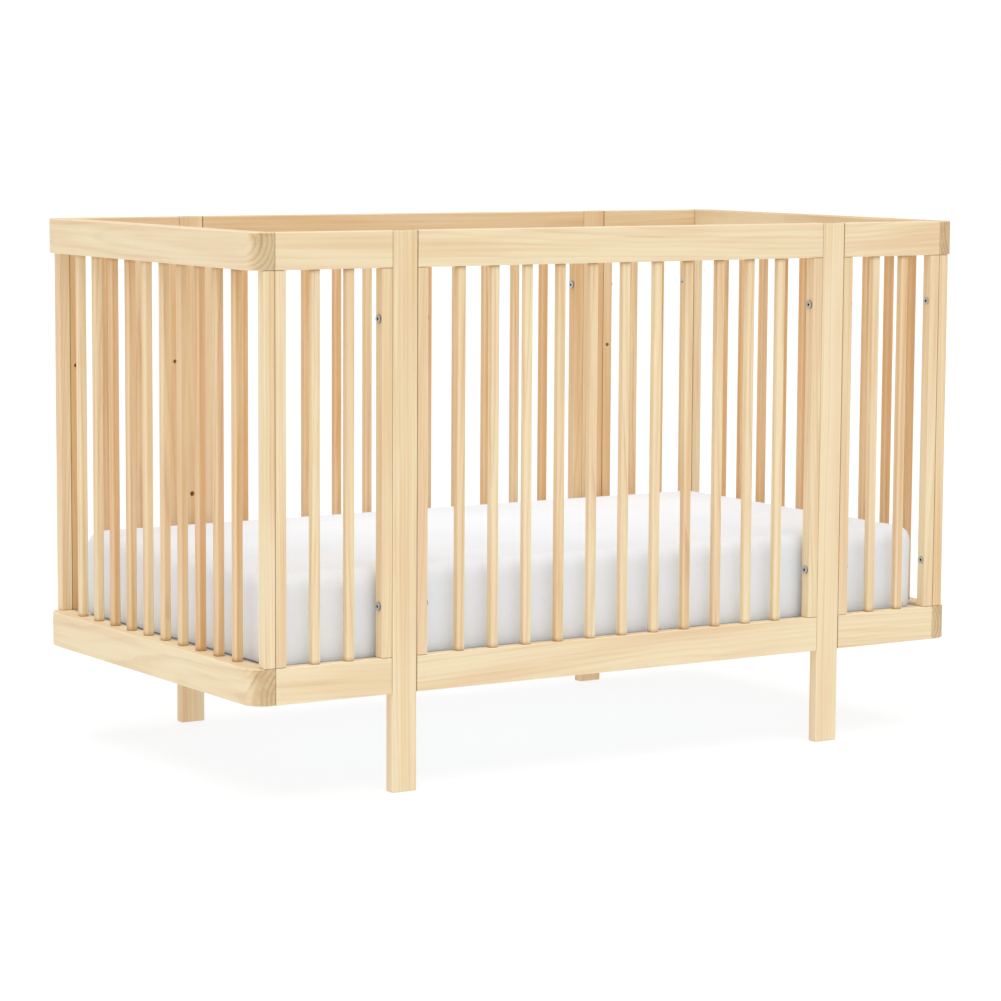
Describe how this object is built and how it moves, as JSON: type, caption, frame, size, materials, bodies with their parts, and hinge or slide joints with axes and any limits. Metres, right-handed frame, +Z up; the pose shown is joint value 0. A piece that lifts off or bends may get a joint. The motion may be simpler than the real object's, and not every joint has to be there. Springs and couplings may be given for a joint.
{
  "type": "baby crib",
  "caption": "Slatted solid-pine crib with four inset plank legs, rounded end rails, a lift-off sprung mattress support with two heights, and a white mattress.",
  "frame": {"origin": "on the floor under the middle of the bed", "axes": "+X along the bed towards its right end, +Y towards the back, +Z up; the front is on -Y"},
  "size_m": [1.406, 0.75, 0.9],
  "materials": {
    "pine_rails": "clear matt lacquer on knot-free pine",
    "pine_legs": "clear matt lacquer on knot-free pine",
    "pine_slats": "clear matt lacquer on knot-free pine",
    "zinc_fasteners": "zinc-plated hex-socket heads",
    "enamelled_steel": "pale grey baked enamel",
    "white_cotton": "white knitted cotton sheet"
  },
  "bodies": {
    "crib_frame": {"front_left_top_rail": "pine_rails", "front_left_bottom_rail": "pine_rails", "front_left_left_stile": "pine_rails", "front_left_right_stile": "pine_rails", "front_left_slats": "pine_slats", "front_middle_top_rail": "pine_rails", "front_middle_bottom_rail": "pine_rails", "front_middle_left_stile": "pine_rails", "front_middle_right_stile": "pine_rails", "front_middle_slats": "pine_slats", "front_right_top_rail": "pine_rails", "front_right_bottom_rail": "pine_rails", "front_right_left_stile": "pine_rails", "front_right_right_stile": "pine_rails", "front_right_slats": "pine_slats", "front_left_leg": "pine_legs", "front_left_lower_bolt": "zinc_fasteners", "front_left_upper_bolt": "zinc_fasteners", "front_left_support_screw": "zinc_fasteners", "front_right_leg": "pine_legs", "front_right_lower_bolt": "zinc_fasteners", "front_right_upper_bolt": "zinc_fasteners", "front_right_support_screw": "zinc_fasteners", "back_left_top_rail": "pine_rails", "back_left_bottom_rail": "pine_rails", "back_left_left_stile": "pine_rails", "back_left_right_stile": "pine_rails", "back_left_slats": "pine_slats", "back_middle_top_rail": "pine_rails", "back_middle_bottom_rail": "pine_rails", "back_middle_left_stile": "pine_rails", "back_middle_right_stile": "pine_rails", "back_middle_slats": "pine_slats", "back_right_top_rail": "pine_rails", "back_right_bottom_rail": "pine_rails", "back_right_left_stile": "pine_rails", "back_right_right_stile": "pine_rails", "back_right_slats": "pine_slats", "back_left_leg": "pine_legs", "back_left_lower_bolt": "zinc_fasteners", "back_left_upper_bolt": "zinc_fasteners", "back_left_support_screw": "zinc_fasteners", "back_right_leg": "pine_legs", "back_right_lower_bolt": "zinc_fasteners", "back_right_upper_bolt": "zinc_fasteners", "back_right_support_screw": "zinc_fasteners", "left_end_top_rail": "pine_rails", "left_end_bottom_rail": "pine_rails", "left_end_front_stile": "pine_rails", "left_end_back_stile": "pine_rails", "left_end_slats": "pine_slats", "right_end_top_rail": "pine_rails", "right_end_bottom_rail": "pine_rails", "right_end_front_stile": "pine_rails", "right_end_back_stile": "pine_rails", "right_end_slats": "pine_slats"},
    "mattress_support": {"support_frame": "enamelled_steel", "spring_deck": "enamelled_steel"},
    "mattress": {"mattress": "white_cotton"}
  },
  "joints": [
    {"name": "support_height", "type": "slide", "parent": "crib_frame", "child": "mattress_support", "axis": [0, 0, 1], "range_m": [0, 0.223]},
    {"name": "mattress_lift", "type": "slide", "parent": "mattress_support", "child": "mattress", "axis": [0, 0, 1], "range_m": [0, 0.72]}
  ]
}
